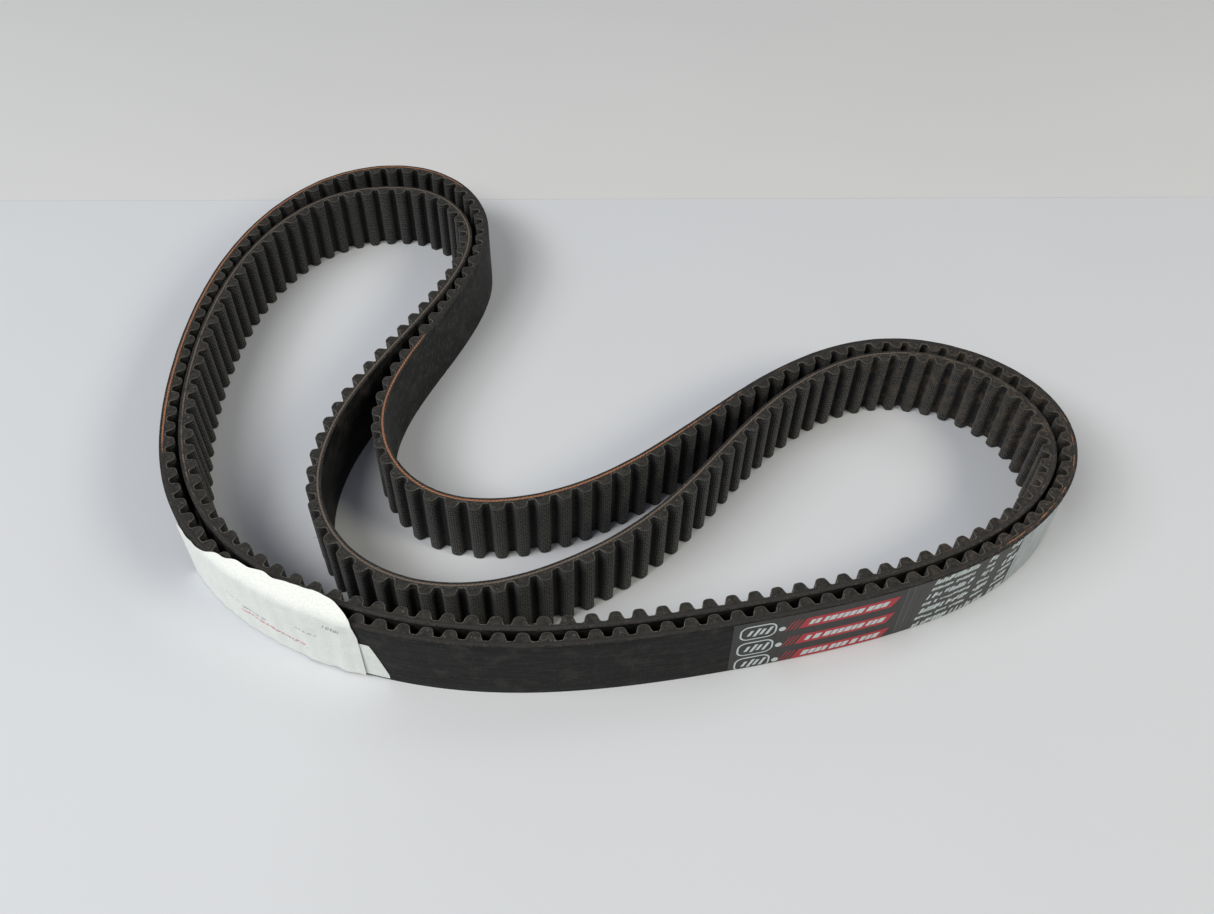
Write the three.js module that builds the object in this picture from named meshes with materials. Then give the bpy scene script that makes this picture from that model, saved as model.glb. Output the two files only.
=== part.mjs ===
// Two endless timing belts, one nested inside the other, standing on edge in a kidney shape.
// Millimetres, +Z up: each belt's width runs along Z, and its teeth face the inside of its loop.
import * as THREE from 'three';

// Driving dimensions of one belt
const pitch = 8;
const toothCount = 145;
const beltWidth = 30;
const backingThickness = 0.8;
const cordThickness = 1.0;
const landRubber = 0.3;
const facingThickness = 0.25;
const toothHeight = 3.25;
const toothRootWidth = 5.3;
const toothTipWidth = 2.9;
const bondGap = 0.02;

// Depths below the pitch line, which runs through the middle of the cord
const backDepth = -(backingThickness + cordThickness / 2);
const cordTop = -cordThickness / 2;
const cordBottom = cordThickness / 2;
const faceDepth = cordBottom + landRubber + facingThickness;

// The outer belt's pitch line: a closed smooth curve drawn by these points, clockwise from the front left
const outerControl = [
  [-159, -86], [-176, -10], [-172, 70], [-138, 126], [-84, 132], [-52, 84],
  [-74, 24], [-97, -29], [-69, -77], [-3, -64], [54, 0], [110, 29],
  [166, 5], [176, -42], [133, -89], [55, -113], [-29, -131], [-97, -122],
];

// How far the inner belt stands inside the outer one, at every fifth tooth round the loop
const nested = 6.2;
const innerStandoff = [
  8, 6.7, nested, 6.5, 7.8, 11.3, 18.6, 13.5, 6.4, nested,
  8, 14, 44, 31, 23, 14, 9.4, 7.3, 7.2, 10,
  6.4, 6.7, nested, nested, nested, nested, nested, nested, 6.6,
];

// The print on the outer back: places along the belt are counted in teeth, heights are in mm
const filmThickness = 0.12;
const filmLift = 0.05;
const panel = { from: 105.7, to: 118.7 };
const stripe = { from: 98.6, to: 105.5 };
const rowHeights = [4.2, 13.7, 23.2];
const mark = { thickness: 0.1, lift: 0.3 };
const badge = { centre: 117.7, length: 12.8, height: 6.6, corner: 1.6 };
const bar = { from: 111.4, to: 116, height: 5.6, slant: 1.8 };

// The paper label on the outer back
const sheetThickness = 0.25;
const labelBottom = 0.8;
const label = { from: 134.4, to: 144.1, lift: 0.45, rise: 5.5 };
const underLabel = { from: 133.4, to: 136.2, lift: 0.08, top: 19.5 };

// Value of a closed uniform cubic B-spline: control holds plain arrays of one or more numbers
function splineAt(control, parameter) {
  const count = control.length;
  const span = Math.floor(parameter);
  const t = parameter - span;
  const weights = [
    (1 - t) ** 3,
    3 * t ** 3 - 6 * t ** 2 + 4,
    -3 * t ** 3 + 3 * t ** 2 + 3 * t + 1,
    t ** 3,
  ];
  return control[0].map((unused, axis) => weights.reduce((sum, weight, i) => {
    const point = control[(span + i - 1 + count) % count];
    return sum + weight * point[axis] / 6;
  }, 0));
}

function loopLength(points) {
  return points.reduce((sum, point, i) => sum + point.distanceTo(points[(i + 1) % points.length]), 0);
}

// Points at equal steps along a closed polyline
function evenly(points, count) {
  const step = loopLength(points) / count;
  const result = [];
  let travelled = 0;
  points.forEach((point, i) => {
    const next = points[(i + 1) % points.length];
    const span = point.distanceTo(next);
    while (result.length < count && result.length * step < travelled + span) {
      result.push(point.clone().lerp(next, (result.length * step - travelled) / span));
    }
    travelled += span;
  });
  return result;
}

// Unit normals towards the inside of a clockwise loop
function inwardNormals(points) {
  const count = points.length;
  return points.map((point, i) => {
    const along = points[(i + 1) % count].clone().sub(points[(i - 1 + count) % count]).normalize();
    return new THREE.Vector2(along.y, -along.x);
  });
}

const beltLength = toothCount * pitch;
const fineSteps = toothCount * 8;

function outerPath() {
  const count = outerControl.length;
  const fine = 40 * count;
  const points = Array.from({ length: fine }, (unused, i) => {
    return new THREE.Vector2(...splineAt(outerControl, i * count / fine));
  });
  const scale = beltLength / loopLength(points);
  return evenly(points.map((point) => point.multiplyScalar(scale)), fineSteps);
}

// The inner belt follows the outer one at the standoffs, whose excess over a snug fit is scaled until
// both belts have the same length
function innerPath(outer) {
  const normals = inwardNormals(outer);
  const control = innerStandoff.map((value) => [value - nested]);
  const build = (excess) => outer.map((point, i) => {
    const [value] = splineAt(control, i * control.length / outer.length);
    return point.clone().addScaledVector(normals[i], nested + excess * value);
  });
  let low = 0.5;
  let high = 2;
  while (high - low > 1e-6) {
    const middle = (low + high) / 2;
    if (loopLength(build(middle)) < beltLength) low = middle;
    else high = middle;
  }
  return build(low);
}

// A belt's pitch polygon has one corner at the middle of each land, so each side carries one tooth
class Belt {
  constructor(path) {
    this.corners = evenly(path, toothCount);
    const count = toothCount;
    this.sides = this.corners.map((corner, i) => {
      const next = this.corners[(i + 1) % count];
      const along = next.clone().sub(corner).normalize();
      return {
        middle: corner.clone().lerp(next, 0.5),
        along,
        inward: new THREE.Vector2(along.y, -along.x),
      };
    });
    this.mitres = this.corners.map((corner, i) => {
      const before = this.sides[(i - 1 + count) % count].inward;
      const mitre = before.clone().add(this.sides[i].inward).normalize();
      return mitre.divideScalar(mitre.dot(before));
    });
  }

  // A smooth layer boundary at one depth below the pitch line
  contour(depth) {
    return this.corners.map((corner, i) => corner.clone().addScaledVector(this.mitres[i], depth));
  }

  // The toothed boundary, inset into the teeth by the given thickness
  toothContour(inset) {
    const slope = (toothRootWidth - toothTipWidth) / 2 / toothHeight;
    const narrower = inset * (Math.hypot(1, slope) - slope);
    const root = toothRootWidth / 2 - narrower;
    const tip = toothTipWidth / 2 - narrower;
    const land = faceDepth - inset;
    const profile = [[-root, land], [-tip, land + toothHeight], [tip, land + toothHeight], [root, land]];
    return this.sides.flatMap((side) => profile.map(([along, depth]) => {
      return side.middle.clone().addScaledVector(side.along, along).addScaledVector(side.inward, depth);
    }));
  }

  // The point at a place counted in teeth, at one depth, on the flat sides of the smooth contours
  pointAt(place, depth) {
    const index = Math.floor(place) % toothCount;
    const contour = this.contour(depth);
    return contour[index].clone().lerp(contour[(index + 1) % toothCount], place - Math.floor(place));
  }
}

function finish(geometry, name, look) {
  const material = new THREE.MeshStandardMaterial(look);
  const mesh = new THREE.Mesh(geometry, material);
  mesh.name = name;
  return mesh;
}

function upright(shape, height) {
  return new THREE.ExtrudeGeometry(shape, { depth: height, bevelEnabled: false });
}

// A closed band of the belt's full width between two clockwise boundaries
function bandGeometry(outerBoundary, innerBoundary) {
  const shape = new THREE.Shape(outerBoundary);
  shape.holes.push(new THREE.Path(innerBoundary.reverse()));
  return upright(shape, beltWidth);
}

// The four bonded layers of one belt
function beltLayers(belt, prefix, looks) {
  const half = bondGap / 2;
  const backing = bandGeometry(belt.contour(backDepth), belt.contour(cordTop - half));
  const cord = bandGeometry(belt.contour(cordTop + half), belt.contour(cordBottom - half));
  const rubber = bandGeometry(belt.contour(cordBottom + half), belt.toothContour(facingThickness + half));
  const facing = bandGeometry(belt.toothContour(facingThickness - half), belt.toothContour(0));
  return [
    finish(backing, `${prefix}_backing`, looks.backing),
    finish(cord, `${prefix}_tensile_cord`, looks.cord),
    finish(rubber, `${prefix}_tooth_rubber`, looks.toothRubber),
    finish(facing, `${prefix}_tooth_facing`, looks.facing),
  ];
}

// A thin upright strip that follows the belt's back from one place to another
function backStrip(belt, { from, to, lift, thickness, bottom, height }) {
  const places = [from];
  for (let corner = Math.floor(from) + 1; corner < to; corner += 1) places.push(corner);
  places.push(to);
  const near = places.map((place) => belt.pointAt(place, backDepth - lift));
  const far = places.map((place) => belt.pointAt(place, backDepth - lift - thickness));
  const geometry = upright(new THREE.Shape([...near, ...far.reverse()]), height);
  return geometry.translate(0, 0, bottom);
}

// Calls change(vertex) for each vertex of the strip's upper edge
function reshapeTop(geometry, change) {
  const position = geometry.getAttribute('position');
  geometry.computeBoundingBox();
  const middle = (geometry.boundingBox.min.z + geometry.boundingBox.max.z) / 2;
  const vertex = new THREE.Vector3();
  for (let i = 0; i < position.count; i += 1) {
    vertex.fromBufferAttribute(position, i);
    if (vertex.z > middle) {
      change(vertex);
      position.setXYZ(i, vertex.x, vertex.y, vertex.z);
    }
  }
  geometry.computeVertexNormals();
  return geometry;
}

function printFilms(belt) {
  const film = { lift: filmLift, thickness: filmThickness, bottom: 0.3, height: beltWidth - 0.6 };
  return [
    finish(backStrip(belt, { ...film, ...panel }), 'print_panel', { color: '#2c2e31', roughness: 0.5 }),
    finish(backStrip(belt, { ...film, ...stripe }), 'print_stripe', { color: '#8d9496', roughness: 0.45 }),
  ];
}

// A pale mark with round corners: its outline is drawn flat, stood up and set against the back
function badgeGeometry(belt, height) {
  const halfLength = badge.length / 2;
  const halfHeight = badge.height / 2;
  const outline = new THREE.Shape();
  const { corner } = badge;
  const right = halfLength - corner;
  const top = halfHeight - corner;
  outline.moveTo(-right, -halfHeight);
  outline.absarc(right, -top, corner, -Math.PI / 2, 0);
  outline.absarc(right, top, corner, 0, Math.PI / 2);
  outline.absarc(-right, top, corner, Math.PI / 2, Math.PI);
  outline.absarc(-right, -top, corner, Math.PI, Math.PI * 1.5);
  const geometry = new THREE.ExtrudeGeometry(outline, {
    depth: mark.thickness, bevelEnabled: false, curveSegments: 4,
  });
  const centre = belt.pointAt(badge.centre, backDepth - mark.lift);
  const { along, inward } = belt.sides[Math.floor(badge.centre)];
  const stand = new THREE.Matrix4().makeBasis(
    new THREE.Vector3(-along.x, -along.y, 0),
    new THREE.Vector3(0, 0, 1),
    new THREE.Vector3(-inward.x, -inward.y, 0),
  );
  return geometry.applyMatrix4(stand.setPosition(centre.x, centre.y, height));
}

// A slanted bar: a strip whose upper edge is pushed along the belt
function barGeometry(belt, height) {
  const strip = backStrip(belt, {
    ...bar, ...mark, bottom: height - bar.height / 2, height: bar.height,
  });
  const { along } = belt.sides[Math.round((bar.from + bar.to) / 2)];
  return reshapeTop(strip, (vertex) => {
    vertex.x -= along.x * bar.slant;
    vertex.y -= along.y * bar.slant;
  });
}

function printMarks(belt) {
  return rowHeights.flatMap((height, row) => [
    finish(badgeGeometry(belt, height), `print_badge_${row + 1}`, { color: '#c9cdd0', roughness: 0.5 }),
    finish(barGeometry(belt, height), `print_bar_${row + 1}`, { color: '#9c2229', roughness: 0.5 }),
  ]);
}

// The label's upper edge stands above the belt in a low arch
function labelSheets(belt) {
  const paper = { thickness: sheetThickness, bottom: labelBottom };
  const sheet = backStrip(belt, { ...label, ...paper, height: beltWidth - labelBottom });
  const start = belt.pointAt(label.from, backDepth);
  const end = belt.pointAt(label.to, backDepth);
  const chord = end.clone().sub(start);
  reshapeTop(sheet, (vertex) => {
    const across = new THREE.Vector2(vertex.x, vertex.y).sub(start).dot(chord) / chord.lengthSq();
    const share = THREE.MathUtils.clamp(across, 0, 1);
    vertex.z += label.rise * Math.sin(Math.PI * Math.sqrt(share)) - 2 * share ** 4;
  });
  const under = backStrip(belt, { ...underLabel, ...paper, height: underLabel.top - labelBottom });
  const white = { color: '#e6e9e4', roughness: 0.7 };
  return [
    finish(sheet, 'label_sheet', white),
    finish(under, 'label_under_sheet', white),
  ];
}

const rubber = { color: '#1f1f21', roughness: 0.75 };
const cutRubber = { color: '#45443f', roughness: 0.85 };
const fabric = { color: '#2a2a2d', roughness: 0.9 };
const copperCord = { color: '#b27b55', roughness: 0.7 };
const tanCord = { color: '#857361', roughness: 0.75 };

const outerLine = outerPath();
const outerBelt = new Belt(outerLine);
const innerBelt = new Belt(innerPath(outerLine));

const bodyLooks = { backing: rubber, toothRubber: cutRubber, facing: fabric };

const group = new THREE.Group();
group.add(
  ...beltLayers(outerBelt, 'outer', { ...bodyLooks, cord: copperCord }),
  ...beltLayers(innerBelt, 'inner', { ...bodyLooks, cord: tanCord }),
  ...printFilms(outerBelt),
  ...printMarks(outerBelt),
  ...labelSheets(outerBelt),
);

// The origin is the middle of the whole, on the surface that the belts stand on
const middle = new THREE.Box3().setFromObject(group).getCenter(new THREE.Vector3());
group.children.forEach((mesh) => mesh.geometry.translate(-middle.x, -middle.y, 0));

export default group;
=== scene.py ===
import math
import random

import bmesh
import bpy
import numpy as np
from mathutils import Matrix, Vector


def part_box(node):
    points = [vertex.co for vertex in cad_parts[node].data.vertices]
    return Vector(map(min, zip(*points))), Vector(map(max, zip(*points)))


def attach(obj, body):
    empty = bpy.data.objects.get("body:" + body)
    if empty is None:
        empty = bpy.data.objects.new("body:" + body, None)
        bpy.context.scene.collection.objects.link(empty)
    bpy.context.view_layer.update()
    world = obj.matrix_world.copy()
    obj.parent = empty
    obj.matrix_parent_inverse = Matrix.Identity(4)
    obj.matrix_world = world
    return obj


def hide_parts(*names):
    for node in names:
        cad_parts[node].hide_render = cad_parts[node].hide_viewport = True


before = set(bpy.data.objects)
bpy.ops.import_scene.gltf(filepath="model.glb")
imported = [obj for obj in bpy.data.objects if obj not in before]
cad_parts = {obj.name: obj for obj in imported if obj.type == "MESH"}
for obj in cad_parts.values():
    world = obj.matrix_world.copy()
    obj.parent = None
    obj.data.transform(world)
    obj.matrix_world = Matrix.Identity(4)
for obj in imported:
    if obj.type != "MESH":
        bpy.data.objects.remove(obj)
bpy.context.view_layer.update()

# lengths are in millimetres until a mesh is made; depths count from the pitch line towards the teeth
section = {
    "pitch": 8.0,
    "teeth": 145,
    "width": 30.0,
    "back": -1.3,
    "cordTop": -0.5,
    "cordBottom": 0.5,
    "land": 1.05,
    "facing": 0.25,
    # half a tooth, from the middle of the land to the middle of the tip: along the belt, height over the land
    "halfTooth": [
        (4.0, 0.0), (3.5, 0.0), (3.12, 0.04), (2.86, 0.2), (2.66, 0.5), (2.47, 1.0), (2.28, 1.6),
        (2.05, 2.2), (1.76, 2.7), (1.38, 3.02), (0.94, 3.18), (0.48, 3.25), (0.0, 3.25),
    ],
    "waver": 0.1,  # how far a cut edge strays from flat
}

runs = {
    "outer": [
        (-159, -86), (-176, -10), (-172, 70), (-138, 126), (-84, 132), (-52, 84),
        (-74, 24), (-97, -29), (-69, -77), (-3, -64), (54, 0), (110, 29),
        (166, 5), (176, -42), (133, -89), (55, -113), (-29, -131), (-97, -122),
    ],
    "nested": 6.2,  # standoff of a snug inner belt
    "standoff": [
        8, 6.7, 6.2, 6.5, 7.8, 11.3, 18.6, 13.5, 6.4, 6.2,
        8, 14, 44, 31, 23, 14, 9.4, 7.3, 7.2, 10,
        6.4, 6.7, 6.2, 6.2, 6.2, 6.2, 6.2, 6.2, 6.6,
    ],
    "steps": 2320,
}


def closedSpline(control, steps):
    control = np.array(control, dtype=float)
    at = np.arange(steps) * len(control) / steps
    span = np.floor(at).astype(int)
    t = (at - span)[:, None]
    weights = [(1 - t) ** 3, 3 * t ** 3 - 6 * t ** 2 + 4, -3 * t ** 3 + 3 * t ** 2 + 3 * t + 1, t ** 3]
    return sum(weight * control[(span + i - 1) % len(control)] for i, weight in enumerate(weights)) / 6


def loopLength(points):
    return np.linalg.norm(np.roll(points, -1, axis=0) - points, axis=1).sum()


def evenly(points, count):
    closed = np.vstack([points, points[:1]])
    travelled = np.concatenate([[0], np.cumsum(np.linalg.norm(np.diff(closed, axis=0), axis=1))])
    wanted = np.arange(count) * travelled[-1] / count
    return np.stack([np.interp(wanted, travelled, closed[:, axis]) for axis in (0, 1)], axis=1)


def inwardOf(points):
    along = np.roll(points, -1, axis=0) - np.roll(points, 1, axis=0)
    along /= np.linalg.norm(along, axis=1)[:, None]
    return np.stack([along[:, 1], -along[:, 0]], axis=1)


def makeRoutes():
    length = section["pitch"] * section["teeth"]
    steps = runs["steps"]
    line = closedSpline(runs["outer"], steps)
    outer = evenly(line * (length / loopLength(line)), steps)
    normals = inwardOf(outer)
    excess = closedSpline([[value - runs["nested"]] for value in runs["standoff"]], steps)
    low, high = 0.5, 2.0
    while high - low > 1e-6:  # the excess that makes the inner loop as long as the outer one
        middle = (low + high) / 2
        if loopLength(outer + normals * (runs["nested"] + middle * excess)) < length:
            low = middle
        else:
            high = middle
    inner = evenly(outer + normals * (runs["nested"] + low * excess), steps)
    # the model's origin is the middle of its box, which the outer back gives
    back = outer + normals * section["back"]
    boxLow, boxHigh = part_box("outer_backing")
    middle = (np.array(boxLow[:2]) + np.array(boxHigh[:2])) * 500
    shift = middle - (back.min(axis=0) + back.max(axis=0)) / 2
    return [(points + shift, inwardOf(points)) for points in (outer, inner)]


outerRoute, innerRoute = makeRoutes()


# a point of a run: its place counted in teeth, its depth, its height over the table; metres from here on
def spots(route, place, depth, height):
    points, inward = route
    place = np.asarray(place, dtype=float)
    at = place * (len(points) / section["teeth"])
    whole = np.floor(at).astype(int)
    share = (at - whole)[:, None]
    first, second = whole % len(points), (whole + 1) % len(points)
    line = points[first] * (1 - share) + points[second] * share
    normal = inward[first] * (1 - share) + inward[second] * share
    flat = line + normal * np.broadcast_to(depth, place.shape)[:, None]
    return np.column_stack([flat, np.broadcast_to(height, place.shape)]) * 0.001


# smooth wander that closes on itself round a loop, between -1 and 1
def wander(place, seed, waves):
    source = np.random.RandomState(seed)
    turn = np.asarray(place) / section["teeth"] * 2 * math.pi
    total = sum(np.sin(turn * wave + source.rand() * 6.28) for wave in waves)
    return total / len(waves)


print("belt runs ready")


def finishMesh(name, vertices, faces, marks, looks, bands=None, sharp=38):
    mesh = bpy.data.meshes.new(name)
    mesh.from_pydata(vertices, [], faces)
    layer = mesh.uv_layers.new(name="mm")
    layer.data.foreach_set("uv", np.asarray(marks, dtype=np.float32).ravel())
    for look in looks:
        mesh.materials.append(look)
    if bands is not None:
        mesh.polygons.foreach_set("material_index", np.asarray(bands, dtype=np.int32))
    shell = bmesh.new()
    shell.from_mesh(mesh)
    bmesh.ops.recalc_face_normals(shell, faces=shell.faces)
    shell.to_mesh(mesh)
    shell.free()
    mesh.polygons.foreach_set("use_smooth", [True] * len(mesh.polygons))
    mesh.set_sharp_from_angle(angle=math.radians(sharp))
    piece = bpy.data.objects.new(name, mesh)
    bpy.context.scene.collection.objects.link(piece)
    return piece


# a closed body between rings that follow one another round its section; every ring runs round the loop
def loopBody(name, rings, along, across, looks, bands):
    count, layers = len(rings[0]), len(rings)
    column = np.arange(count)
    after = (column + 1) % count
    far = np.append(along[1:], along[0] + loopTotal(along))
    faces, marks, kinds = [], [], []
    for row in range(layers):
        following = (row + 1) % layers
        faces.append(np.stack([
            row * count + column, row * count + after, following * count + after, following * count + column,
        ], axis=1))
        low, high = across[row], across[row + 1]
        marks.append(np.stack([
            np.stack([along, np.full(count, low)], axis=1), np.stack([far, np.full(count, low)], axis=1),
            np.stack([far, np.full(count, high)], axis=1), np.stack([along, np.full(count, high)], axis=1),
        ], axis=1))
        kinds.append(np.full(count, bands[row]))
    return finishMesh(
        name, np.vstack(rings).tolist(), np.vstack(faces).tolist(), np.concatenate(marks), looks,
        np.concatenate(kinds),
    )


def loopTotal(along):
    return along[-1] - along[0] + (along[-1] - along[-2])


# adds one node: its inputs are given by name or number, as a value or as the socket that feeds it
def addNode(tree, kind, inputs=None, **settings):
    node = tree.nodes.new(kind)
    for name, value in settings.items():
        setattr(node, name, value)
    for name, value in (inputs or {}).items():
        if isinstance(value, bpy.types.NodeSocket):
            tree.links.new(value, node.inputs[name])
        else:
            node.inputs[name].default_value = value
    return node


def colour(code):
    values = [int(code[i:i + 2], 16) / 255 for i in (1, 3, 5)]
    return [v / 12.92 if v <= 0.04045 else ((v + 0.055) / 1.055) ** 2.4 for v in values] + [1.0]


def startMaterial(name, **constants):
    material = bpy.data.materials.new(name)
    material.use_nodes = True
    tree = material.node_tree
    shader = tree.nodes["Principled BSDF"]
    for socket, value in constants.items():
        shader.inputs[socket.replace("_", " ")].default_value = value
    return material, tree, shader


# nitrile rubber, ground on a drum and handled: near black and matt, with faint smears along the belt,
# broad grey clouds and short pale nicks across it
groundRubber = {
    "dark": "#090909", "smear": "#1f1f1e", "cloud": "#343330", "nick": "#5e5b56",
    "smearLength": 16.0, "smearWidth": 1.1,  # mm
    "cloudSize": 9.0,
    "nickLength": 3.4, "nickWidth": 1.1,  # mm; real nicks are a third as wide, coarsened so that they show
    "grit": 0.45,  # mm; the real grit is 0.1, coarsened so that it shows
    "nicked": 0.0,  # metres: the nicks show beyond this Y
}


def makeGroundRubber():
    look = groundRubber
    material, tree, shader = startMaterial("groundNitrileRubber", IOR=1.52, Specular_IOR_Level=0.25)
    mark = addNode(tree, "ShaderNodeUVMap", uv_map="mm").outputs[0]
    smearAt = addNode(tree, "ShaderNodeMapping", {
        "Vector": mark, "Scale": (1 / look["smearLength"], 1 / look["smearWidth"], 1),
    }).outputs[0]
    nickAt = addNode(tree, "ShaderNodeMapping", {
        "Vector": mark, "Scale": (1 / look["nickWidth"], 1 / look["nickLength"], 1),
    }).outputs[0]
    smear = addNode(tree, "ShaderNodeTexNoise", {
        "Vector": smearAt, "Scale": 1.0, "Detail": 5, "Roughness": 0.6,
    })
    nick = addNode(tree, "ShaderNodeTexNoise", {
        "Vector": nickAt, "Scale": 1.0, "Detail": 3, "Roughness": 0.55,
    })
    grit = addNode(tree, "ShaderNodeTexNoise", {"Vector": mark, "Scale": 1 / look["grit"], "Detail": 3})
    cloud = addNode(tree, "ShaderNodeTexNoise", {
        "Vector": mark, "Scale": 1 / look["cloudSize"], "Detail": 5, "Roughness": 0.62,
    })
    smearShare = addNode(tree, "ShaderNodeMapRange", {
        "Value": smear.outputs[0], "From Min": 0.4, "From Max": 0.7,
    }, interpolation_type="SMOOTHSTEP")
    cloudShare = addNode(tree, "ShaderNodeMapRange", {
        "Value": cloud.outputs[0], "From Min": 0.47, "From Max": 0.68, "To Max": 0.65,
    }, interpolation_type="SMOOTHSTEP")
    nickShare = addNode(tree, "ShaderNodeMapRange", {
        "Value": nick.outputs[0], "From Min": 0.57, "From Max": 0.75, "To Max": 0.6,
    })
    # the nicks are mostly on the far runs: the near one is rubbed smooth
    depth = addNode(tree, "ShaderNodeSeparateXYZ", {0: addNode(tree, "ShaderNodeTexCoord").outputs["Object"]})
    farShare = addNode(tree, "ShaderNodeMapRange", {
        "Value": depth.outputs[1], "From Min": look["nicked"] - 0.04, "From Max": look["nicked"],
        "To Min": 0.25,
    })
    nicked = addNode(tree, "ShaderNodeMath", {
        0: nickShare.outputs[0], 1: farShare.outputs[0],
    }, operation="MULTIPLY")
    smeared = addNode(tree, "ShaderNodeMix", {
        0: smearShare.outputs[0], 6: colour(look["dark"]), 7: colour(look["smear"]),
    }, data_type="RGBA")
    clouded = addNode(tree, "ShaderNodeMix", {
        0: cloudShare.outputs[0], 6: smeared.outputs[2], 7: colour(look["cloud"]),
    }, data_type="RGBA")
    finished = addNode(tree, "ShaderNodeMix", {
        0: nicked.outputs[0], 6: clouded.outputs[2], 7: colour(look["nick"]),
    }, data_type="RGBA")
    rough = addNode(tree, "ShaderNodeMapRange", {"Value": cloud.outputs[0], "To Min": 0.55, "To Max": 0.85})
    height = addNode(tree, "ShaderNodeMath", {0: grit.outputs[0], 1: smear.outputs[0]}, operation="ADD")
    bump = addNode(tree, "ShaderNodeBump", {
        "Height": height.outputs[0], "Strength": 0.4, "Distance": 0.00015,
    })
    tree.links.new(finished.outputs[2], shader.inputs["Base Color"])
    tree.links.new(rough.outputs[0], shader.inputs["Roughness"])
    tree.links.new(bump.outputs[0], shader.inputs["Normal"])
    return material


# the same rubber sliced through: grey-brown, mottled, with pale flecks of filler and fibre
cutRubber = {
    "dark": "#171716", "body": "#32312e", "fleck": "#6a665e", "dust": "#574536",
    "mottle": 0.9, "fleckSize": 0.5,  # mm
    "dusty": 0.12,  # metres: brown dust shows on the cut of the lobe beyond this X
}


def makeCutRubber():
    material, tree, shader = startMaterial("slicedNitrileRubber", IOR=1.52, Specular_IOR_Level=0.3)
    place = addNode(tree, "ShaderNodeTexCoord").outputs["Object"]
    mottle = addNode(tree, "ShaderNodeTexNoise", {
        "Vector": place, "Scale": 1000 / cutRubber["mottle"] / 2, "Detail": 6, "Roughness": 0.68,
    })
    fleck = addNode(tree, "ShaderNodeTexNoise", {
        "Vector": place, "Scale": 1000 / cutRubber["fleckSize"] / 2, "Detail": 2,
    })
    patch = addNode(tree, "ShaderNodeTexNoise", {"Vector": place, "Scale": 90, "Detail": 3})
    share = addNode(tree, "ShaderNodeMapRange", {
        "Value": mottle.outputs[0], "From Min": 0.34, "From Max": 0.64,
    })
    fleckShare = addNode(tree, "ShaderNodeMapRange", {
        "Value": fleck.outputs[0], "From Min": 0.6, "From Max": 0.74, "To Max": 0.75,
    })
    patchShare = addNode(tree, "ShaderNodeMapRange", {
        "Value": patch.outputs[0], "From Min": 0.35, "From Max": 0.65, "To Min": 0.35, "To Max": 1.0,
    })
    base = addNode(tree, "ShaderNodeMix", {
        0: share.outputs[0], 6: colour(cutRubber["dark"]), 7: colour(cutRubber["body"]),
    }, data_type="RGBA")
    flecked = addNode(tree, "ShaderNodeMix", {
        0: fleckShare.outputs[0], 6: base.outputs[2], 7: colour(cutRubber["fleck"]),
    }, data_type="RGBA")
    shaded = addNode(tree, "ShaderNodeMix", {
        0: patchShare.outputs[0], 6: base.outputs[2], 7: flecked.outputs[2],
    }, data_type="RGBA")
    side = addNode(tree, "ShaderNodeSeparateXYZ", {0: place})
    beyond = addNode(tree, "ShaderNodeMapRange", {
        "Value": side.outputs[0], "From Min": cutRubber["dusty"] - 0.05,
        "From Max": cutRubber["dusty"] + 0.03,
        "To Min": 0.08, "To Max": 0.75,
    }, interpolation_type="SMOOTHSTEP")
    dusting = addNode(tree, "ShaderNodeMapRange", {
        "Value": mottle.outputs[0], "From Min": 0.5, "From Max": 0.68,
    })
    dustShare = addNode(tree, "ShaderNodeMath", {
        0: beyond.outputs[0], 1: dusting.outputs[0],
    }, operation="MULTIPLY")
    finished = addNode(tree, "ShaderNodeMix", {
        0: dustShare.outputs[0], 6: shaded.outputs[2], 7: colour(cutRubber["dust"]),
    }, data_type="RGBA")
    rough = addNode(tree, "ShaderNodeMapRange", {"Value": mottle.outputs[0], "To Min": 0.7, "To Max": 0.95})
    bump = addNode(tree, "ShaderNodeBump", {"Height": mottle.outputs[0], "Strength": 0.8, "Distance": 0.0003})
    tree.links.new(finished.outputs[2], shader.inputs["Base Color"])
    tree.links.new(rough.outputs[0], shader.inputs["Roughness"])
    tree.links.new(bump.outputs[0], shader.inputs["Normal"])
    return material


# nylon, knitted and resin treated: a lattice of charcoal loops with dark between, worn pale on the tips
# and brown with dust in places
knitNylon = {
    "thread": "#131313", "gap": "#070707", "worn": "#454543", "dust": "#5a4c3d",
    "fray": "#6b685f", "frayGap": "#3b3934",  # the sliced edge shows the paler inside of the yarn
    "loopLength": 1.3, "loopWidth": 0.8,  # mm; real loops are half this, coarsened so that they show
    "dusty": 0.09,  # metres: dust gathers on the lobe beyond this X
}


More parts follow.
